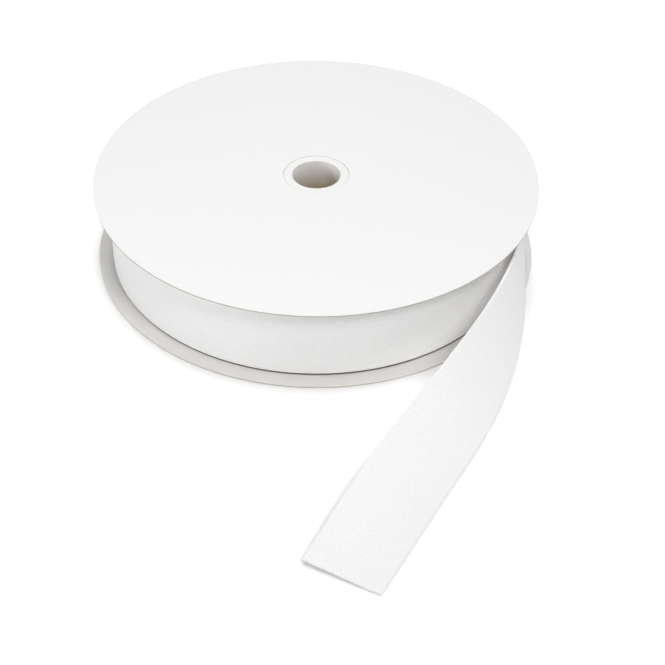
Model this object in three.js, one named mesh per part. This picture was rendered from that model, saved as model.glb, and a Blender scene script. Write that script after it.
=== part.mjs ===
// Hook and loop tape roll: a flanged reel lying flat, with the free end of its tape drawn out in front.
// Units are millimetres and +Z is up. The origin is on the reel's axis, at the level that the roll lies on.
// Seen from the front, along +Y, the tape leaves the reel on the right and runs out towards the viewer.

import * as THREE from 'three';

// Tape
const tapeWidth = 38;
const tapeThickness = 1.2;

// Winding
const packRadius = 108.5; // outside of the winding, where the tape leaves it
const outerTurns = 2; // turns wound as one spiral strip over the plain inner turns
const windingGap = 0.5; // space between two turns of the spiral strip

// Flanges, two board discs
const flangeRadius = 115;
const boardThickness = 1.0;
const sidePlay = 5; // room that the flanges leave beside the tape

// Hub, two moulded halves that plug together
const boreRadius = 12.5;
const boreChamfer = 0.4;
const hubWall = 2.2;
const lipOverhang = 2.3; // how far the lip reaches past the barrel
const lipThickness = 0.5;
const spigotWall = 1.0;
const spigotLength = 6;

// Core tube
const coreWall = 6;

// Clearances
const radialGap = 0.3; // round a piece that plugs or slides into another
const seatGap = 0.15; // between faces that seat on each other
const tapeRest = 1; // between the wound tape and the lower flange
const floorGap = 0.1; // under the stretch of tape that lies on the table
const stretchGap = 0.3; // between the wound strip and the free end

// Free end of the tape, measured along its lower edge from the point where it leaves the winding
const exitAngle = THREE.MathUtils.degToRad(5);
const tailArcRadius = 308;
const tailArcAngle = THREE.MathUtils.degToRad(33);
const tailStraight = 93;
const rimClearance = 1; // past the flange's rim before the lower edge steps down
const stepDownLength = 25; // radial run in which the lower edge comes down to the table
const turnSpan = 305; // run in which the tape turns over from upright to flat

// Facets
const rimSegments = 96;
const hubSegments = 48;
const turnSegments = 96;
const tailSegments = 72;
const widthSegments = 4;

// Derived sizes
const reelHeight = tapeWidth + sidePlay + 2 * boardThickness;
const barrelRadius = boreRadius + hubWall;
const lipRadius = barrelRadius + lipOverhang;
const holeRadius = barrelRadius + radialGap;
const seatRadius = lipRadius + radialGap;
const seatDepth = lipThickness + seatGap;
const spigotRadius = boreRadius + spigotWall;
const socketRadius = spigotRadius + radialGap;
const coreRadius = holeRadius + coreWall;
const tapeBase = boardThickness + tapeRest;
const turnPitch = tapeThickness + windingGap;
const exitRadius = packRadius - tapeThickness;
const innerPackRadius = exitRadius - outerTurns * turnPitch - windingGap;
const tailArcLength = tailArcRadius * tailArcAngle;
const tailLength = tailArcLength + tailStraight;

const boardColour = 0xf5f5f6;
const plasticColour = 0xf1f0ec;
const coreColour = 0xb8a382;
const tapeColour = 0xf2f2f2;

function finish(color, roughness) {
  return new THREE.MeshStandardMaterial({ color, roughness, metalness: 0 });
}

// A solid of revolution about the reel's axis, from a closed outline of [radius, height] points
// that runs anticlockwise: along the bottom outwards, up the outside and back along the top.
function turned(outline, segments) {
  const points = [...outline, outline[0]].map(([r, z]) => new THREE.Vector2(r, z));
  const geometry = new THREE.LatheGeometry(points, segments);
  return geometry.rotateX(Math.PI / 2);
}

// The same outline on the other side of the reel's mid plane
function mirrored(outline) {
  return outline.map(([r, z]) => [r, reelHeight - z]).reverse();
}

const lowerFlangeOutline = [
  [seatRadius, 0],
  [flangeRadius, 0],
  [flangeRadius, boardThickness],
  [holeRadius, boardThickness],
  [holeRadius, seatDepth],
  [seatRadius, seatDepth],
];

// The lower half carries the spigot, which starts at mid height.
const shoulderHeight = reelHeight / 2 - seatGap / 2;
const lowerHubOutline = [
  [boreRadius + boreChamfer, 0],
  [lipRadius, 0],
  [lipRadius, lipThickness],
  [barrelRadius, lipThickness],
  [barrelRadius, shoulderHeight],
  [spigotRadius, shoulderHeight],
  [spigotRadius, shoulderHeight + spigotLength],
  [boreRadius, shoulderHeight + spigotLength],
  [boreRadius, boreChamfer],
];

// The upper half has the socket that the spigot enters.
const socketMouth = reelHeight / 2 + seatGap / 2;
const socketEnd = shoulderHeight + spigotLength + seatGap;
const upperHubOutline = [
  [socketRadius, socketMouth],
  [barrelRadius, socketMouth],
  [barrelRadius, reelHeight - lipThickness],
  [lipRadius, reelHeight - lipThickness],
  [lipRadius, reelHeight],
  [boreRadius + boreChamfer, reelHeight],
  [boreRadius, reelHeight - boreChamfer],
  [boreRadius, socketEnd],
  [socketRadius, socketEnd],
];

const coreOutline = [
  [holeRadius, boardThickness + seatGap],
  [coreRadius, boardThickness + seatGap],
  [coreRadius, reelHeight - boardThickness - seatGap],
  [holeRadius, reelHeight - boardThickness - seatGap],
];

const packOutline = [
  [coreRadius + radialGap, tapeBase],
  [innerPackRadius, tapeBase],
  [innerPackRadius, tapeBase + tapeWidth],
  [coreRadius + radialGap, tapeBase + tapeWidth],
];

// A closed strip of tape. Each row is one cross-section on the way along it, with as many points
// on its inner face as on its outer face, both listed from the lower edge to the upper one.
function strip(rows) {
  const across = rows[0].inner.length;
  const last = rows.length - 1;
  const inner = (row, k) => row * 2 * across + k;
  const outer = (row, k) => inner(row, k) + across;
  const positions = rows.flatMap((row) => [...row.inner, ...row.outer].flatMap((p) => p.toArray()));
  const index = [];
  const quad = (a, b, c, d) => index.push(a, b, c, a, c, d);
  for (let i = 0; i < last; i += 1) {
    for (let k = 0; k < across - 1; k += 1) {
      quad(outer(i, k), outer(i, k + 1), outer(i + 1, k + 1), outer(i + 1, k));
      quad(inner(i, k), inner(i + 1, k), inner(i + 1, k + 1), inner(i, k + 1));
    }
    const top = across - 1;
    quad(inner(i, 0), outer(i, 0), outer(i + 1, 0), inner(i + 1, 0));
    quad(inner(i, top), inner(i + 1, top), outer(i + 1, top), outer(i, top));
  }
  for (let k = 0; k < across - 1; k += 1) {
    quad(inner(0, k), inner(0, k + 1), outer(0, k + 1), outer(0, k));
    quad(inner(last, k), outer(last, k), outer(last, k + 1), inner(last, k + 1));
  }
  const geometry = new THREE.BufferGeometry();
  geometry.setAttribute('position', new THREE.Float32BufferAttribute(positions, 3));
  geometry.setIndex(index);
  geometry.computeVertexNormals();
  return geometry;
}

// The outer turns: one strip that spirals out, clockwise seen from above, to the exit point.
function woundRows() {
  const steps = outerTurns * turnSegments;
  const spare = stretchGap / exitRadius;
  return Array.from({ length: steps + 1 }, (_, i) => {
    const back = spare + (2 * Math.PI * outerTurns - spare) * (1 - i / steps);
    const radius = exitRadius - (turnPitch * back) / (2 * Math.PI);
    const angle = exitAngle + back;
    const edge = (r, z) => new THREE.Vector3(r * Math.cos(angle), r * Math.sin(angle), z);
    const face = (r) => [edge(r, tapeBase), edge(r, tapeBase + tapeWidth)];
    return { inner: face(radius), outer: face(radius + tapeThickness) };
  });
}

// The least distance between points of the strip that lie half a turn or more apart along it
function leastGapToItself(rows) {
  let least = Infinity;
  rows.forEach((row, i) => {
    for (const later of rows.slice(i + turnSegments / 2)) {
      for (const p of row.outer) {
        for (const q of later.inner) least = Math.min(least, p.distanceTo(q));
      }
    }
  });
  return least;
}

// Where the free end's lower edge is after a run along it, which way it heads,
// and which way is inwards, to the right of that heading
function tailCourse(run) {
  const out = new THREE.Vector3(Math.cos(exitAngle), Math.sin(exitAngle), 0);
  const start = out.clone().multiplyScalar(exitRadius);
  const ahead = new THREE.Vector3(out.y, -out.x, 0);
  const turn = Math.min(run, tailArcLength) / tailArcRadius;
  const heading = ahead.clone().multiplyScalar(Math.cos(turn)).addScaledVector(out, -Math.sin(turn));
  const inwards = new THREE.Vector3(heading.y, -heading.x, 0);
  const point = start.clone().addScaledVector(ahead, tailArcRadius * Math.sin(turn));
  point.addScaledVector(out, -tailArcRadius * (1 - Math.cos(turn)));
  point.addScaledVector(heading, Math.max(run - tailArcLength, 0));
  return { point, inwards };
}

// The lower edge's height: it rides over the lower flange and steps down past its rim.
function lowerEdgeHeight(radius) {
  const rim = Math.max(flangeRadius, packRadius) + rimClearance;
  const down = THREE.MathUtils.smoothstep(radius, rim, rim + stepDownLength);
  return THREE.MathUtils.lerp(tapeBase, floorGap, down);
}

// A cross-section of the free end. It stands upright at the exit and leans inwards more and more,
// so that the cut end lies almost flat, with its inner corner still a little off the table.
function tailRow(run) {
  const { point, inwards } = tailCourse(run);
  const up = new THREE.Vector3(0, 0, 1);
  const lean = (Math.PI / 2) * THREE.MathUtils.smoothstep(run, 0, turnSpan);
  const along = inwards.clone().multiplyScalar(Math.sin(lean)).addScaledVector(up, Math.cos(lean));
  const normal = inwards.clone().multiplyScalar(-Math.cos(lean)).addScaledVector(up, Math.sin(lean));
  const edge = point.clone().setZ(lowerEdgeHeight(Math.hypot(point.x, point.y)));
  const step = tapeWidth / widthSegments;
  const at = (k, depth) => edge.clone().addScaledVector(along, k * step).addScaledVector(normal, depth);
  const face = (depth) => Array.from({ length: widthSegments + 1 }, (_, k) => at(k, depth));
  return { inner: face(0), outer: face(tapeThickness) };
}

function tailRows() {
  return Array.from({ length: tailSegments + 1 }, (_, i) => tailRow((tailLength * i) / tailSegments));
}

const wound = woundRows();
console.log(`outer turns: least gap to themselves ${leastGapToItself(wound).toFixed(3)} mm`);

const board = () => finish(boardColour, 0.6);
const plastic = () => finish(plasticColour, 0.4);
const cloth = () => finish(tapeColour, 0.95);

const pieces = [
  ['lower_flange', turned(lowerFlangeOutline, rimSegments), board()],
  ['upper_flange', turned(mirrored(lowerFlangeOutline), rimSegments), board()],
  ['lower_hub', turned(lowerHubOutline, hubSegments), plastic()],
  ['upper_hub', turned(upperHubOutline, hubSegments), plastic()],
  ['core_tube', turned(coreOutline, hubSegments), finish(coreColour, 0.85)],
  ['tape_pack', turned(packOutline, rimSegments), cloth()],
  ['tape_outer_turns', strip(wound), cloth()],
  ['tape_tail', strip(tailRows()), cloth()],
];

const tapeRoll = new THREE.Group();
for (const [name, geometry, material] of pieces) {
  const mesh = new THREE.Mesh(geometry, material);
  mesh.name = name;
  tapeRoll.add(mesh);
}

export default tapeRoll;
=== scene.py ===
"""A roll of loop tape on a board reel: two board flanges, two moulded hub halves, a core tube and the tape.

The reel lies flat. Its tape is wound on the core, and the free end comes off the winding, turns over
and lies on the table. Lengths are metres, +Z is up and the origin is on the reel's axis, on the table.
"""

import math
import random

import bmesh
import bpy
import numpy as np
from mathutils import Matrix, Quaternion, Vector, noise


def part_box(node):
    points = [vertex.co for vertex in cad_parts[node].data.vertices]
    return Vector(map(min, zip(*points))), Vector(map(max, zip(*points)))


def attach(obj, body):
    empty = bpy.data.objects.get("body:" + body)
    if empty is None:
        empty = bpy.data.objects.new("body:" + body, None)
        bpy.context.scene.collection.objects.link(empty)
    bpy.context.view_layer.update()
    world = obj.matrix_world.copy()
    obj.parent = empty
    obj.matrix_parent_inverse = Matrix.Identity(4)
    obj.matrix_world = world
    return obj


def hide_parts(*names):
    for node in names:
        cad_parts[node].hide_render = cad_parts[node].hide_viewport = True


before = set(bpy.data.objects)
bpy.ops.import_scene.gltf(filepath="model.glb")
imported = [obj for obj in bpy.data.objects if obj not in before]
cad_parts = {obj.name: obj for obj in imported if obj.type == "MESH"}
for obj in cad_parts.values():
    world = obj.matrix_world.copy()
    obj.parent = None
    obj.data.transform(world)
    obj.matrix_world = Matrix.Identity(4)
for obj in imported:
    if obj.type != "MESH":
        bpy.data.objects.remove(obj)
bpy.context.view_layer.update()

MM = 0.001

# Reel sizes that the frame gives
REEL_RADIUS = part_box("upper_flange")[1].x
REEL_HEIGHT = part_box("upper_flange")[1].z
BOARD_THICKNESS = REEL_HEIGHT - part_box("upper_flange")[0].z
LIP_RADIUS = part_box("upper_hub")[1].x
SOCKET_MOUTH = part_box("upper_hub")[0].z
SPIGOT_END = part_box("lower_hub")[1].z
INNER_PACK_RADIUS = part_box("tape_pack")[1].x
CORE_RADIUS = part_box("core_tube")[1].x
TAPE_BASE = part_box("tape_pack")[0].z
TAPE_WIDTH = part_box("tape_pack")[1].z - TAPE_BASE

# Hub sizes that no box gives
BORE_RADIUS = 12.5 * MM
HUB_WALL = 2.2 * MM
SPIGOT_WALL = 1 * MM
LIP_THICKNESS = 0.5 * MM
LIP_GAP = 0.1 * MM  # round the lip in its seat
RADIAL_GAP = 0.3 * MM  # round a piece that plugs into another
SEAT_GAP = 0.15 * MM  # between faces that seat on each other
BARREL_RADIUS = BORE_RADIUS + HUB_WALL
SPIGOT_RADIUS = BORE_RADIUS + SPIGOT_WALL
SOCKET_RADIUS = SPIGOT_RADIUS + RADIAL_GAP
HOLE_RADIUS = BARREL_RADIUS + RADIAL_GAP
SEAT_RADIUS = LIP_RADIUS + LIP_GAP
SEAT_DEPTH = LIP_THICKNESS + SEAT_GAP

# Tape and winding
TAPE_THICKNESS = 1.2 * MM
GROUND_THICKNESS = 0.5 * MM  # the woven part of that, without the loops
SELVEDGE = 0.2 * MM  # bare ground beside the loops
PACK_RADIUS = 108.5 * MM
OUTER_TURNS = 2
WINDING_GAP = 0.5 * MM  # between the outer turns
TURN_PITCH = TAPE_THICKNESS + WINDING_GAP
PACK_PITCH = 1.4 * MM  # of the inner turns
PACK_GAP = 0.3 * MM  # between the core and the inner turns
EXIT_RADIUS = PACK_RADIUS - TAPE_THICKNESS

# Course of the free end
EXIT_ANGLE = math.radians(5)
ARC_RADIUS = 308 * MM
ARC_ANGLE = math.radians(33)
ARC_LENGTH = ARC_RADIUS * ARC_ANGLE
STRAIGHT_LENGTH = 93 * MM
TAIL_LENGTH = ARC_LENGTH + STRAIGHT_LENGTH
FLOOR_GAP = 0.1 * MM
RIM_CLEARANCE = 1 * MM  # past the flange's rim before the lower edge steps down
STEP_START = REEL_RADIUS + RIM_CLEARANCE
STEP_LENGTH = 25 * MM
TURN_SPAN = 305 * MM  # run in which the tape turns over from upright to flat

PLACE_ON_TAPE = "place_on_tape"  # UV map: metres along the tape from the exit, and across it
MERGE = 0.001 * MM  # points closer than this become one


# Shader nodes
class Value:
    """A node's output. Python's operators on it add Math nodes."""

    def __init__(self, nodes, socket):
        self.nodes = nodes
        self.socket = socket

    def __add__(self, other):
        return self.nodes.math("ADD", self, other)

    def __sub__(self, other):
        return self.nodes.math("SUBTRACT", self, other)

    def __rsub__(self, other):
        return self.nodes.math("SUBTRACT", other, self)

    def __mul__(self, other):
        return self.nodes.math("MULTIPLY", self, other)

    def __truediv__(self, other):
        return self.nodes.math("DIVIDE", self, other)

    __radd__ = __add__
    __rmul__ = __mul__


class Nodes:
    """A node tree with one method that adds any node, and short forms of the common ones."""

    def __init__(self, tree):
        self.tree = tree

    def node(self, kind, settings=None, inputs=None, output=0):
        made = self.tree.nodes.new(kind)
        for name, value in (settings or {}).items():
            setattr(made, name, value)
        for name, value in (inputs or {}).items():
            self.put(made.inputs[name], value)
        return Value(self, made.outputs[output])

    def put(self, socket, value):
        if isinstance(value, Value):
            self.tree.links.new(value.socket, socket)
        else:
            socket.default_value = value

    def math(self, operation, *values):
        return self.node("ShaderNodeMath", {"operation": operation}, dict(enumerate(values)))

    def clamp(self, value):
        return self.node("ShaderNodeClamp", inputs={"Value": value})

    def mix(self, share, first, second):
        # A Mix node has sockets for each kind of data. Those for colours are 6 and 7, and output 2.
        inputs = {0: share, 6: first, 7: second}
        return self.node("ShaderNodeMix", {"data_type": "RGBA"}, inputs, 2)

    def noise(self, place, size, detail):
        inputs = {"Vector": place, "Scale": 1 / size, "Detail": detail}
        return self.node("ShaderNodeTexNoise", inputs=inputs)

    def stretch(self, place, scale):
        return self.node("ShaderNodeMapping", inputs={"Vector": place, "Scale": scale})

    def parts(self, place):
        split = self.node("ShaderNodeSeparateXYZ", inputs={"Vector": place})
        return [Value(self, socket) for socket in split.socket.node.outputs]


class Finish(Nodes):
    """A surface finish: a node material on one Principled shader."""

    def __init__(self, name, **fixed):
        self.material = bpy.data.materials.new(name)
        self.material.use_nodes = True
        super().__init__(self.material.node_tree)
        self.shader = self.tree.nodes["Principled BSDF"]
        for socket, value in fixed.items():
            self.shader.inputs[socket.replace("_", " ")].default_value = value

    def bump(self, height, depth, strength):
        inputs = {"Height": height, "Distance": depth, "Strength": strength}
        return self.node("ShaderNodeBump", inputs=inputs)

    def surface(self, colour, roughness, normal):
        self.put(self.shader.inputs["Base Color"], colour)
        self.put(self.shader.inputs["Roughness"], roughness)
        self.put(self.shader.inputs["Normal"], normal)
        return self.material

    def object_place(self):
        return self.node("ShaderNodeTexCoord", output="Object")

    def tape_place(self):
        return self.node("ShaderNodeUVMap", {"uv_map": PLACE_ON_TAPE})


def grey(level, warmth=0.0):
    return (level + warmth, level, level - warmth, 1)


# Finishes
def coated_liner():
    """The flanges' outer face: white coated board, faintly cloudy."""
    board = Finish("coated_liner", Specular_IOR_Level=0.2)
    place = board.object_place()
    cloud = board.noise(place, size=30 * MM, detail=3)
    fibre = board.noise(place, size=0.5 * MM, detail=3)
    colour = board.mix(cloud, grey(0.939), grey(0.946))
    relief = board.bump(fibre, depth=0.03 * MM, strength=0.15)
    return board.surface(colour, roughness=0.66 + fibre * 0.12, normal=relief)


PAINTED_SHADE_OUTER = PACK_RADIUS - 1.6 * MM  # radius outside which there is no painted shade
PAINTED_SHADE_INNER = PACK_RADIUS - 2.1 * MM  # radius inside which the painted shade is darkest
# Colour of the painted shade that darkens the board under the winding's foot
FOOT_PAINTED_SHADE = (0.24, 0.205, 0.16, 1)


def bare_liner():
    """The board's uncoated inner face, with painted shade under the foot of the winding, in the gap under
    the tape.
    """
    board = Finish("bare_liner", Specular_IOR_Level=0.25)
    place = board.object_place()
    x, y, _ = board.parts(place)
    radius = board.math("SQRT", x * x + y * y)
    # Painted shade under the foot of the winding, darkest inwards
    painted_shade = board.clamp((PAINTED_SHADE_OUTER - radius) / (PAINTED_SHADE_OUTER - PAINTED_SHADE_INNER))
    fibre = board.noise(place, size=1.2 * MM, detail=4)
    speck = board.noise(place, size=5 * MM, detail=3)
    unshaded = board.mix(fibre * 0.6 + speck * 0.4, grey(0.75, 0.02), grey(0.82, 0.014))
    colour = board.mix(painted_shade, unshaded, FOOT_PAINTED_SHADE)
    relief = board.bump(fibre, depth=0.06 * MM, strength=0.4)
    return board.surface(colour, roughness=0.75 + fibre * 0.15, normal=relief)


MIDDLE_SHARE = 0.62  # of the board's thickness
DARK_PULP = (0.42, 0.37, 0.31, 1)
PALE_PULP = (0.66, 0.60, 0.53, 1)


def cut_board():
    """The board's cut edge: a grey-brown middle layer between two white liners."""
    board = Finish("cut_board", Specular_IOR_Level=0.15)
    place = board.object_place()
    _, _, z = board.parts(place)
    layers = board.noise(board.stretch(place, (1, 1, 14)), size=2.2 * MM, detail=4)
    fibre = board.noise(place, size=0.25 * MM, detail=2)
    level = board.math("MODULO", z, REEL_HEIGHT - BOARD_THICKNESS) / BOARD_THICKNESS
    middle = board.math("LESS_THAN", board.math("ABSOLUTE", level - 0.5), MIDDLE_SHARE / 2)
    pulp = board.mix(layers, DARK_PULP, PALE_PULP)
    colour = board.mix(middle, grey(0.88), pulp)
    relief = board.bump(layers + fibre * 0.5, depth=0.1 * MM, strength=0.5)
    return board.surface(colour, roughness=0.85 + fibre * 0.1, normal=relief)


BORE_SHADE_DEPTH = 18 * MM  # from a mouth of the bore to where the painted shade is darkest
BORE_REACH = 0.5 * MM  # past the bore's wall, for the rounding at its mouths
# Colour of the painted shade deep in the bore
BORE_PAINTED_SHADE = (0.43, 0.32, 0.175, 1)
DARK_PLASTIC = (0.90, 0.895, 0.885, 1)
PALE_PLASTIC = (0.92, 0.918, 0.908, 1)


def hub_plastic():
    """Off-white moulded plastic. Painted shade browns, darkens and roughens the wall of the bore, more so
    away from its mouths.
    """
    plastic = Finish("hub_plastic", Specular_IOR_Level=0.5)
    place = plastic.object_place()
    x, y, z = plastic.parts(place)
    cloud = plastic.noise(place, size=8 * MM, detail=2)
    grain = plastic.noise(place, size=0.35 * MM, detail=2)
    unshaded = plastic.mix(cloud, DARK_PLASTIC, PALE_PLASTIC)
    depth = REEL_HEIGHT / 2 - plastic.math("ABSOLUTE", z - REEL_HEIGHT / 2)
    deep = plastic.clamp(depth / BORE_SHADE_DEPTH)
    inside = plastic.math("LESS_THAN", x * x + y * y, (BORE_RADIUS + BORE_REACH) ** 2)
    # Painted shade: darker deeper in the bore, away from its mouths
    painted_shade = deep * deep * inside
    colour = plastic.mix(painted_shade, unshaded, BORE_PAINTED_SHADE)
    relief = plastic.bump(grain, depth=0.02 * MM, strength=0.25)
    return plastic.surface(colour, roughness=0.34 + grain * 0.14 + painted_shade * 0.3, normal=relief)


SEAM_PITCH = 18 * MM
JOINT_SHARE = 0.03  # of the pitch
DARK_KRAFT = (0.36, 0.25, 0.14, 1)
PALE_KRAFT = (0.50, 0.38, 0.23, 1)
JOINT_SHADE = (0.22, 0.15, 0.08, 1)


def core_kraft():
    """Brown board wound as a spiral, with a dark joint between its plies."""
    kraft = Finish("core_kraft", Specular_IOR_Level=0.2)
    place = kraft.object_place()
    x, y, z = kraft.parts(place)
    turn = kraft.math("ARCTAN2", y, x) / math.tau
    seam = kraft.math("FRACT", turn + z / SEAM_PITCH)
    joint = kraft.math("LESS_THAN", seam, JOINT_SHARE)
    fibre = kraft.noise(kraft.stretch(place, (1, 1, 3)), size=1.5 * MM, detail=4)
    ply = kraft.mix(fibre, DARK_KRAFT, PALE_KRAFT)
    colour = kraft.mix(joint, ply, JOINT_SHADE)
    relief = kraft.bump(fibre - joint * 0.6, depth=0.1 * MM, strength=0.5)
    return kraft.surface(colour, roughness=0.8 + fibre * 0.15, normal=relief)


LOOP_SIZE = 0.9 * MM


def loop_pile():
    """The tape's soft face: small napped loops, with painted shade in the hollows between them."""
    cloth = Finish("loop_pile", Specular_IOR_Level=0.15, Sheen_Weight=0.12, Sheen_Roughness=0.6)
    place = cloth.tape_place()
    cells = {"Vector": place, "Scale": 1 / LOOP_SIZE}
    loops = cloth.node("ShaderNodeTexVoronoi", {"voronoi_dimensions": "2D"}, cells, "Distance")
    fibre = cloth.noise(place, size=0.22 * MM, detail=3)
    nap = cloth.noise(place, size=4 * MM, detail=3)
    # Nap and fibre vary the tone at random; the hollows between the loops get painted shade
    shade = nap * 0.2 + fibre * 0.2 + (1 - loops) * 0.6
    colour = cloth.mix(shade, grey(0.88, 0.003), grey(0.99, 0.002))
    relief = cloth.bump(fibre * 0.5 - loops, depth=0.25 * MM, strength=0.6)
    return cloth.surface(colour, roughness=0.9 + fibre * 0.1, normal=relief)


WARP_PITCH = 0.7 * MM
WEFT_PITCH = 0.8 * MM


def woven_ground():
    """The tape's woven back and edges: a plain weave."""
    cloth = Finish("woven_ground", Specular_IOR_Level=0.25, Sheen_Weight=0.08, Sheen_Roughness=0.5)
    place = cloth.tape_place()
    along, across, _ = cloth.parts(place)
    warp = cloth.math("SINE", across * (math.tau / WARP_PITCH))
    weft = cloth.math("SINE", along * (math.tau / WEFT_PITCH))
    weave = warp * weft * 0.5 + 0.5
    fibre = cloth.noise(place, size=0.15 * MM, detail=2)
    colour = cloth.mix(weave * 0.7 + fibre * 0.3, grey(0.90, 0.004), grey(0.94, 0.002))
    relief = cloth.bump(weave + fibre * 0.3, depth=0.12 * MM, strength=0.5)
    return cloth.surface(colour, roughness=0.7 + fibre * 0.2, normal=relief)


# Camera at the photograph's place, with its lens and sensor in millimetres
EYE = Vector((0.0, -678.3, 510.7)) * MM
AIM = Vector((8.6, -73.4, 0.0)) * MM
ROLL = math.radians(0.92)
LENS = 85.66
SENSOR = 36


def make_camera():
    camera = bpy.data.objects.new("camera", bpy.data.cameras.new("camera"))
    bpy.context.collection.objects.link(camera)
    camera.location = EYE
    camera.rotation_mode = "QUATERNION"
    facing = (AIM - EYE).to_track_quat("-Z", "Y")
    camera.rotation_quaternion = facing @ Quaternion((0, 0, 1), ROLL)
    camera.data.sensor_width = SENSOR
    camera.data.lens = LENS
    bpy.context.scene.camera = camera


# The tape's course: points of its inner face, in rows along it and columns across it from the lower edge
def smooth(value, start, end):
    share = np.clip((value - start) / (end - start), 0, 1)
    return share * share * (3 - 2 * share)


def outward(face):
    """The direction that the outer face of a laid tape looks in, at each point of its inner face."""
    across = np.gradient(face, axis=1)
    along = np.gradient(face, axis=0)
    normal = np.cross(across, along)
    return normal / np.linalg.norm(normal, axis=2, keepdims=True)


def wound_course(run, across):
    """The spiral of the outer turns. Runs on it are negative, back from the exit."""
    back = -run / EXIT_RADIUS
    angle = EXIT_ANGLE + back
    radius = EXIT_RADIUS - TURN_PITCH * back / math.tau
    x, y, z = np.broadcast_arrays(
        (radius * np.cos(angle))[:, None],
        (radius * np.sin(angle))[:, None],
        (TAPE_BASE + TAPE_WIDTH * across)[None, :],
    )
    return np.stack([x, y, z], axis=-1)


def tail_course(run, across):
    """The free end: an arc and a straight. It leans inwards more and more, and steps down to the table."""
    out = np.array([math.cos(EXIT_ANGLE), math.sin(EXIT_ANGLE), 0])
    ahead = np.array([out[1], -out[0], 0])
    up = np.array([0, 0, 1.0])
    turn = (np.minimum(run, ARC_LENGTH) / ARC_RADIUS)[:, None]
    heading = np.cos(turn) * ahead - np.sin(turn) * out
    inwards = np.stack([heading[:, 1], -heading[:, 0], 0 * run], axis=-1)
    edge = EXIT_RADIUS * out + ARC_RADIUS * (np.sin(turn) * ahead - (1 - np.cos(turn)) * out)
    edge = edge + np.maximum(run - ARC_LENGTH, 0)[:, None] * heading
    radius = np.hypot(edge[:, 0], edge[:, 1])
    edge[:, 2] = TAPE_BASE + (FLOOR_GAP - TAPE_BASE) * smooth(radius, STEP_START, STEP_START + STEP_LENGTH)
    lean = math.pi / 2 * smooth(run, 0, TURN_SPAN)[:, None]
    section = np.sin(lean) * inwards + np.cos(lean) * up
    return edge[:, None, :] + TAPE_WIDTH * across[None, :, None] * section[:, None, :]


# Tape pieces
def laid_grid(name, points, run, across):
    """A flat grid laid on its course: its vertices go to points, by rows along and columns across."""
    rows, columns = points.shape[:2]
    bpy.ops.object.select_all(action="DESELECT")
    bpy.ops.mesh.primitive_grid_add(x_subdivisions=columns - 1, y_subdivisions=rows - 1, size=TAPE_WIDTH)
    piece = bpy.context.object
    piece.name = piece.data.name = name
    piece.data.vertices.foreach_set("co", points.reshape(-1).astype(np.float32))
    corner = np.empty(len(piece.data.loops), np.int32)
    piece.data.loops.foreach_get("vertex_index", corner)
    flat = np.stack(np.broadcast_arrays(run[:, None], TAPE_WIDTH * across[None, :]), axis=-1)
    piece.data.uv_layers.active.name = PLACE_ON_TAPE
    piece.data.uv_layers.active.data.foreach_set("uv", flat.reshape(-1, 2)[corner].reshape(-1))
    piece.data.update()
    return piece


CLOTH_CREASE = math.radians(40)
OUTWARDS = 1
INWARDS = -1


def thicken(piece, thickness, side):
    wall = piece.modifiers.new("wall", "SOLIDIFY")
    wall.thickness = thickness
    wall.offset = side
    wall.use_even_offset = True
    bpy.ops.object.modifier_apply(modifier=wall.name)
    bpy.ops.object.shade_smooth_by_angle(angle=CLOTH_CREASE)


def ground_tape(name, course, run, columns, finish):
    """The woven ground: the full width of the tape, thin, with its selvedges."""
    across = np.linspace(0, 1, columns + 1)
    piece = laid_grid(name, course(run, across), run, across)
    thicken(piece, GROUND_THICKNESS, OUTWARDS)
    piece.data.materials.append(finish)
    return piece


PILE_SHELL = 0.4 * MM
PILE_ROUND = 0.3 * MM
ROUND_POINTS = 4
PILE_SINK = 0.05 * MM  # how far the loops reach into the ground
PILE_RELIEF = 0.1 * MM
RELIEF_FADE = 3 * MM  # from the loops' sides to the full relief
PILE_LUMP = 1.6 * MM
LUMP_FALLOFF = 0.6
LUMP_FINENESS = 2.0
LUMP_OCTAVES = 3


def pile_relief(run, width):
    place = (run / PILE_LUMP, width / PILE_LUMP, 0)
    lump = noise.fractal(place, LUMP_FALLOFF, LUMP_FINENESS, LUMP_OCTAVES)
    return PILE_RELIEF * 0.5 * max(-1.0, min(1.0, lump))


def loop_layer(name, course, run, columns, finish):
    """The napped loops on the ground, between the selvedges, rounded off at both of their sides."""
    width = TAPE_WIDTH - 2 * SELVEDGE
    rounding = PILE_ROUND * (1 - np.cos(np.linspace(0, math.pi / 2, ROUND_POINTS)))
    middle = np.linspace(PILE_ROUND, width - PILE_ROUND, columns + 1)
    inset = np.concatenate([rounding[:-1], middle, (width - rounding)[-2::-1]])
    across = (SELVEDGE + inset) / TAPE_WIDTH
    edge = np.minimum(inset, width - inset)
    rise = np.sqrt(1 - (1 - np.minimum(edge / PILE_ROUND, 1)) ** 2)
    pile = TAPE_THICKNESS - GROUND_THICKNESS - PILE_RELIEF / 2
    relief = np.array([[pile_relief(a, TAPE_WIDTH * b) for b in across] for a in run])
    relief = relief * np.minimum(edge / RELIEF_FADE, 1)
    face = course(run, across)
    height = GROUND_THICKNESS - PILE_SINK + rise * (pile + relief)
    piece = laid_grid(name, face + height[:, :, None] * outward(face), run, across)
    thicken(piece, PILE_SHELL, INWARDS)
    piece.data.materials.append(finish)
    return piece


def settle(piece, body, node):
    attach(piece, body)
    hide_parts(node)


TAIL_STEPS = 200
TAIL_COLUMNS = 24
TAIL_LOOP_STEPS = 400
TAIL_LOOP_COLUMNS = 44


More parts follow.
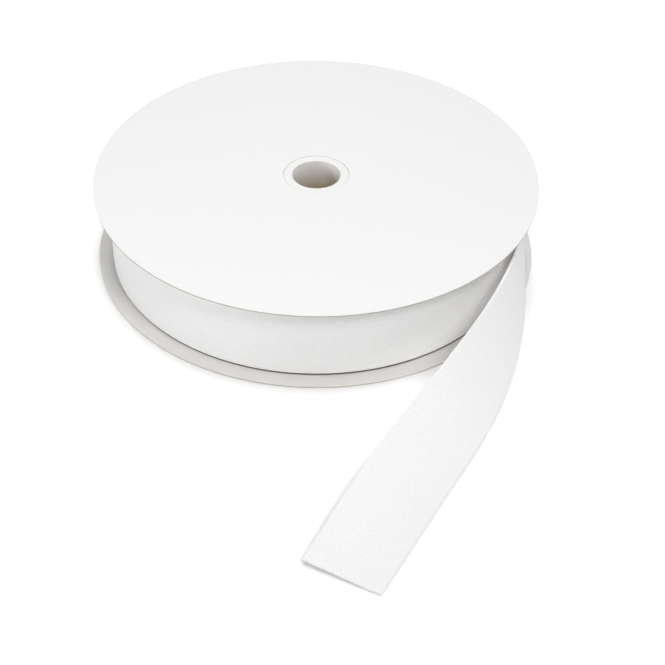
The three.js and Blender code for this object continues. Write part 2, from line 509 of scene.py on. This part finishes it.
def make_tail(ground_finish, pile_finish):
    run = np.linspace(0, TAIL_LENGTH, TAIL_STEPS + 1)
    ground = ground_tape("tail_ground", tail_course, run, TAIL_COLUMNS, ground_finish)
    fine = np.linspace(0, TAIL_LENGTH, TAIL_LOOP_STEPS + 1)
    pile = loop_layer("tail_loops", tail_course, fine, TAIL_LOOP_COLUMNS, pile_finish)
    settle(ground, "tape_end", "tape_tail")
    settle(pile, "tape_end", "tape_tail")
    path = tail_course(run, np.array([0.5]))[:, 0]


TURN_STEPS = 240
TURN_COLUMNS = 8
HIDDEN_STEPS = 160  # along the turn that lies under the last one
SHOWN_STEPS = 720
TURN_LOOP_COLUMNS = 36


def make_outer_turns(ground_finish, pile_finish):
    turn = math.tau * EXIT_RADIUS
    run = np.linspace(-OUTER_TURNS * turn, 0, OUTER_TURNS * TURN_STEPS + 1)
    ground = ground_tape("outer_turns_ground", wound_course, run, TURN_COLUMNS, ground_finish)
    hidden = np.linspace(-OUTER_TURNS * turn, -turn, HIDDEN_STEPS + 1)[:-1]
    shown = np.linspace(-turn, 0, SHOWN_STEPS + 1)
    fine = np.concatenate([hidden, shown])
    pile = loop_layer("outer_turns_loops", wound_course, fine, TURN_LOOP_COLUMNS, pile_finish)
    settle(ground, "tape_end", "tape_outer_turns")
    settle(pile, "tape_end", "tape_outer_turns")


PACK_STEPS = 128
POINTS_PER_TURN = 4
PACK_GROOVE = 0.45 * MM  # depth between two turns
GROOVE_SHARPNESS = 4
PACK_UNEVEN = 0.25 * MM  # how far a turn may lie deeper than the others
PACK_SEED = 7
PACK_CREASE = math.radians(50)


def make_inner_turns(finish):
    """The wound ring, with the edges of its turns as one spiral on both of its flat sides."""
    inner = CORE_RADIUS + PACK_GAP
    turns = int((INNER_PACK_RADIUS - inner) / PACK_PITCH) + 2
    draw = random.Random(PACK_SEED)
    sink = np.array([draw.random() * PACK_UNEVEN for _ in range(turns + 1)])
    radius = np.linspace(inner, INNER_PACK_RADIUS, POINTS_PER_TURN * turns)
    angle = np.linspace(0, math.tau, PACK_STEPS + 1)
    place = (radius[None, :] - inner) / PACK_PITCH + angle[:, None] / math.tau
    count = np.floor(place)
    along = count - angle[:, None] / math.tau
    groove = PACK_GROOVE * np.cos(math.pi * (place - count)) ** GROOVE_SHARPNESS
    groove = groove + np.interp(along, np.arange(turns + 1), sink)
    around = np.stack([np.cos(angle), np.sin(angle)], axis=-1)[:, None, :] * radius[None, :, None]
    lower = np.concatenate([around, (TAPE_BASE + groove)[:, :, None]], axis=2)
    upper = np.concatenate([around, (TAPE_BASE + TAPE_WIDTH - groove)[:, :, None]], axis=2)
    points = np.concatenate([lower, upper[:, ::-1], lower[:, :1]], axis=1)
    across = np.linspace(0, 1, points.shape[1])
    piece = laid_grid("inner_turns", points, angle * INNER_PACK_RADIUS, across)
    bpy.ops.object.mode_set(mode="EDIT")
    bpy.ops.mesh.select_all(action="SELECT")
    bpy.ops.mesh.remove_doubles(threshold=MERGE)
    bpy.ops.mesh.normals_make_consistent(inside=False)
    bpy.ops.object.mode_set(mode="OBJECT")
    bpy.ops.object.shade_smooth_by_angle(angle=PACK_CREASE)
    piece.data.materials.append(finish)
    settle(piece, "spool", "tape_pack")


# Rigid pieces
def pick(piece, mode, wanted):
    """Selects the faces or edges for which wanted is true, in edit mode."""
    shape = bmesh.from_edit_mesh(piece.data)
    bpy.ops.mesh.select_mode(type=mode)
    bpy.ops.mesh.select_all(action="DESELECT")
    for part in shape.faces if mode == "FACE" else shape.edges:
        part.select_set(wanted(part))
    shape.select_flush_mode()
    bmesh.update_edit_mesh(piece.data)


def distance(point):
    return math.hypot(point.x, point.y)


RIM_SIDES = 192
RIM_ROUND = 0.12 * MM
RIM_REACH = 0.5 * MM
SEAT_REACH = 1 * MM
BEVEL_STEPS = 3
FLAT = 0.9  # least upright share of a flat face's normal
STEEP = 0.75  # upright share of the normal under which a face counts as cut edge
BOARD_CREASE = math.radians(35)
OUTER_FACE, CUT_EDGE, INNER_FACE = range(3)  # order of the finishes on a disc


def on_rim(edge):
    """True for an edge that runs along the rim, and false for one that crosses it."""
    first, second = (corner.co for corner in edge.verts)
    level = abs(first.z - second.z) < 0.1 * BOARD_THICKNESS
    return level and min(distance(first), distance(second)) > REEL_RADIUS - RIM_REACH


def board_disc(name, node, side, finishes):
    """A die-cut board disc, with the seat of the hub's lip pressed into its outer face.

    The outer face looks up where side is 1, and down where it is -1.
    """
    low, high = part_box(node)
    bpy.ops.object.select_all(action="DESELECT")
    bpy.ops.mesh.primitive_cylinder_add(
        vertices=RIM_SIDES,
        radius=REEL_RADIUS,
        depth=BOARD_THICKNESS,
        location=(0, 0, (low.z + high.z) / 2),
    )
    disc = bpy.context.object
    disc.name = disc.data.name = name
    bpy.ops.object.transform_apply(location=True, rotation=False, scale=False)
    bpy.ops.object.mode_set(mode="EDIT")
    pick(disc, "FACE", lambda face: face.normal.z * side > FLAT)
    bpy.ops.mesh.inset(thickness=REEL_RADIUS - SEAT_RADIUS)
    press = {"value": (0, 0, -side * SEAT_DEPTH)}
    bpy.ops.mesh.extrude_region_move(TRANSFORM_OT_translate=press)
    bpy.ops.mesh.inset(thickness=SEAT_RADIUS - HOLE_RADIUS)
    bpy.ops.mesh.delete(type="FACE")
    pick(disc, "FACE", lambda face: face.normal.z * side < -FLAT and len(face.verts) == RIM_SIDES)
    bpy.ops.mesh.inset(thickness=REEL_RADIUS - HOLE_RADIUS)
    bpy.ops.mesh.delete(type="FACE")
    pick(disc, "EDGE", lambda edge: edge.is_boundary)
    bpy.ops.mesh.bridge_edge_loops()
    pick(disc, "EDGE", on_rim)
    bpy.ops.mesh.bevel(offset=RIM_ROUND, segments=BEVEL_STEPS, affect="EDGES")
    bpy.ops.mesh.select_all(action="SELECT")
    bpy.ops.mesh.normals_make_consistent(inside=False)
    bpy.ops.object.mode_set(mode="OBJECT")
    bpy.ops.object.shade_smooth_by_angle(angle=BOARD_CREASE)
    for finish in finishes:
        disc.data.materials.append(finish)
    for face in disc.data.polygons:
        at_seat = abs(distance(face.center) - SEAT_RADIUS) < SEAT_REACH
        if abs(face.normal.z) < STEEP and not at_seat:
            face.material_index = CUT_EDGE
        elif face.normal.z * side > 0:
            face.material_index = OUTER_FACE
        else:
            face.material_index = INNER_FACE
    settle(disc, "spool", node)


HUB_SIDES = 96
HUB_ROUND = 0.2 * MM
HUB_CREASE = math.radians(40)


def turned(name, outline):
    """A turned piece: its closed outline of (radius, height) points, drawn point by point and spun round."""
    bpy.ops.object.select_all(action="DESELECT")
    radius, height = outline[0]
    bpy.ops.mesh.primitive_plane_add(size=MM)
    piece = bpy.context.object
    piece.name = piece.data.name = name
    bpy.ops.object.mode_set(mode="EDIT")
    bpy.ops.mesh.select_mode(type="VERT")
    bpy.ops.mesh.select_all(action="SELECT")
    bpy.ops.mesh.merge(type="CENTER")
    bpy.ops.transform.translate(value=(radius, 0, height))
    for (r0, z0), (r1, z1) in zip(outline, outline[1:] + outline[:1]):
        bpy.ops.mesh.extrude_vertices_move(TRANSFORM_OT_translate={"value": (r1 - r0, 0, z1 - z0)})
    bpy.ops.mesh.select_all(action="SELECT")
    bpy.ops.mesh.remove_doubles(threshold=MERGE)
    bpy.ops.mesh.spin(steps=HUB_SIDES, angle=math.tau, center=(0, 0, 0), axis=(0, 0, 1))
    bpy.ops.mesh.select_all(action="SELECT")
    bpy.ops.mesh.remove_doubles(threshold=MERGE)
    bpy.ops.mesh.normals_make_consistent(inside=False)
    bpy.ops.object.mode_set(mode="OBJECT")
    return piece


def round_edges(piece, width):
    bpy.ops.object.select_all(action="DESELECT")
    piece.select_set(True)
    bpy.context.view_layer.objects.active = piece
    bevel = piece.modifiers.new("round", "BEVEL")
    bevel.width = width
    bevel.segments = BEVEL_STEPS
    bevel.limit_method = "ANGLE"
    bevel.angle_limit = HUB_CREASE
    bpy.ops.object.modifier_apply(modifier=bevel.name)
    bpy.ops.object.shade_smooth_by_angle(angle=HUB_CREASE)


def make_hub(finish):
    """The two halves of the hub: the lower one's spigot sits in the upper one's socket."""
    lower = turned("hub_lower_half", [
        (BORE_RADIUS, 0),
        (LIP_RADIUS, 0),
        (LIP_RADIUS, LIP_THICKNESS),
        (BARREL_RADIUS, LIP_THICKNESS),
        (BARREL_RADIUS, SOCKET_MOUTH - SEAT_GAP),
        (SPIGOT_RADIUS, SOCKET_MOUTH - SEAT_GAP),
        (SPIGOT_RADIUS, SPIGOT_END),
        (BORE_RADIUS, SPIGOT_END),
    ])
    upper = turned("hub_upper_half", [
        (SOCKET_RADIUS, SOCKET_MOUTH),
        (BARREL_RADIUS, SOCKET_MOUTH),
        (BARREL_RADIUS, REEL_HEIGHT - LIP_THICKNESS),
        (LIP_RADIUS, REEL_HEIGHT - LIP_THICKNESS),
        (LIP_RADIUS, REEL_HEIGHT),
        (BORE_RADIUS, REEL_HEIGHT),
        (BORE_RADIUS, SPIGOT_END + SEAT_GAP),
        (SOCKET_RADIUS, SPIGOT_END + SEAT_GAP),
    ])
    for piece, node in ((lower, "lower_hub"), (upper, "upper_hub")):
        round_edges(piece, HUB_ROUND)
        piece.data.materials.append(finish)
        settle(piece, "spool", node)


def finish_core_tube(finish):
    """The core tube is the CAD node itself, in its own finish."""
    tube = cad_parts["core_tube"]
    tube.data.materials.clear()
    tube.data.materials.append(finish)


# Stage
AMBIENT = 0.02
FLOOR_SIZE = 12
FLOOR_GLOW = 0.25  # at the reel
FLOOR_FADE = 2.5  # distance at which the floor's glow is full
BACK_GLOW = 0.22  # more of it behind the reel: painted light that clears the shade there
BACK_START = 60 * MM
CONTACT_REACH = 18 * MM  # of the shade on the floor beside what stands on it


def seen_directly(nodes):
    """1 for what the camera sees, straight, in a reflection or through glass, and 0 for other light."""
    path = nodes.node("ShaderNodeLightPath").socket.node.outputs
    kinds = ("Is Camera Ray", "Is Glossy Ray", "Is Transmission Ray")
    camera, glossy, through = (Value(nodes, path[kind]) for kind in kinds)
    return nodes.clamp(camera + glossy + through)


def make_floor():
    """White studio paper. Its glow is only seen, straight or mirrored, and is weaker near the reel, where
    ambient occlusion dims it into a painted contact shadow; the extra glow behind the reel is painted light.
    """
    bpy.ops.object.select_all(action="DESELECT")
    bpy.ops.mesh.primitive_plane_add(size=FLOOR_SIZE)
    floor = bpy.context.object
    floor.name = "floor"
    paper = bpy.data.materials.new("studio_paper")
    paper.use_nodes = True
    paper.node_tree.nodes.clear()
    nodes = Nodes(paper.node_tree)
    cover = nodes.node("ShaderNodeBsdfDiffuse", inputs={"Color": grey(0.86)})
    nook = nodes.node("ShaderNodeAmbientOcclusion", inputs={"Distance": CONTACT_REACH}, output="AO")
    x, y, _ = nodes.parts(nodes.node("ShaderNodeTexCoord", output="Object"))
    away = nodes.clamp((x * x + y * y) / FLOOR_FADE ** 2)
    behind = nodes.clamp(y / BACK_START + 1)
    # Ambient occlusion dims the glow beside the reel: a painted contact shadow
    even = nook * nook * nook * (FLOOR_GLOW + away * (1 - FLOOR_GLOW))
    light = seen_directly(nodes) * (even + behind * BACK_GLOW)
    glow = nodes.node("ShaderNodeEmission", inputs={"Color": light})
    both = nodes.node("ShaderNodeAddShader", inputs={0: cover, 1: glow})
    output = paper.node_tree.nodes.new("ShaderNodeOutputMaterial")
    nodes.put(output.inputs["Surface"], both)
    floor.data.materials.append(paper)


def make_world():
    """White to the camera, and a faint even light on the rest."""
    world = bpy.data.worlds.new("studio")
    world.use_nodes = True
    nodes = Nodes(world.node_tree)
    back = world.node_tree.nodes["Background"]
    back.inputs["Color"].default_value = (1, 1, 1, 1)
    nodes.put(back.inputs["Strength"], seen_directly(nodes) * (1 - AMBIENT) + AMBIENT)
    bpy.context.scene.world = world


def soft_box(name, place, size, watts):
    """A square lamp that looks at the origin, under the middle of the reel."""
    lamp = bpy.data.lights.new(name, "AREA")
    lamp.shape = "SQUARE"
    lamp.size = size
    lamp.energy = watts
    box = bpy.data.objects.new(name, lamp)
    bpy.context.collection.objects.link(box)
    box.location = place
    box.rotation_mode = "QUATERNION"
    box.rotation_quaternion = (-Vector(place)).to_track_quat("-Z", "Y")


def make_lights():
    make_world()
    soft_box("overhead", (0, 0.4, 3.2), size=1.6, watts=48.5)
    soft_box("front", (-0.22, -2.52, 2.12), size=0.9, watts=11.8)
    soft_box("front_right", (0.86, -1.84, 2.6), size=0.9, watts=38)
    soft_box("low_front_left", (-2.28, -2.28, 0.69), size=0.9, watts=18.5)
    soft_box("left", (-3.19, 0, 0.85), size=0.9, watts=24)
    soft_box("right", (3.19, 0, 0.85), size=0.9, watts=18.5)
    soft_box("back", (0, 3.2, 0.4), size=0.7, watts=14)


BOUNCES = 24  # enough for light to get in between the white flanges

make_camera()
ground_finish, pile_finish = woven_ground(), loop_pile()
make_tail(ground_finish, pile_finish)
make_outer_turns(ground_finish, pile_finish)
make_inner_turns(ground_finish)
board_finishes = (coated_liner(), cut_board(), bare_liner())
board_disc("flange_lower", "lower_flange", -1, board_finishes)
board_disc("flange_upper", "upper_flange", 1, board_finishes)
make_hub(hub_plastic())
finish_core_tube(core_kraft())
make_floor()
make_lights()
bpy.context.scene.view_settings.view_transform = "Standard"
bpy.context.scene.cycles.max_bounces = BOUNCES
bpy.context.scene.cycles.diffuse_bounces = BOUNCES
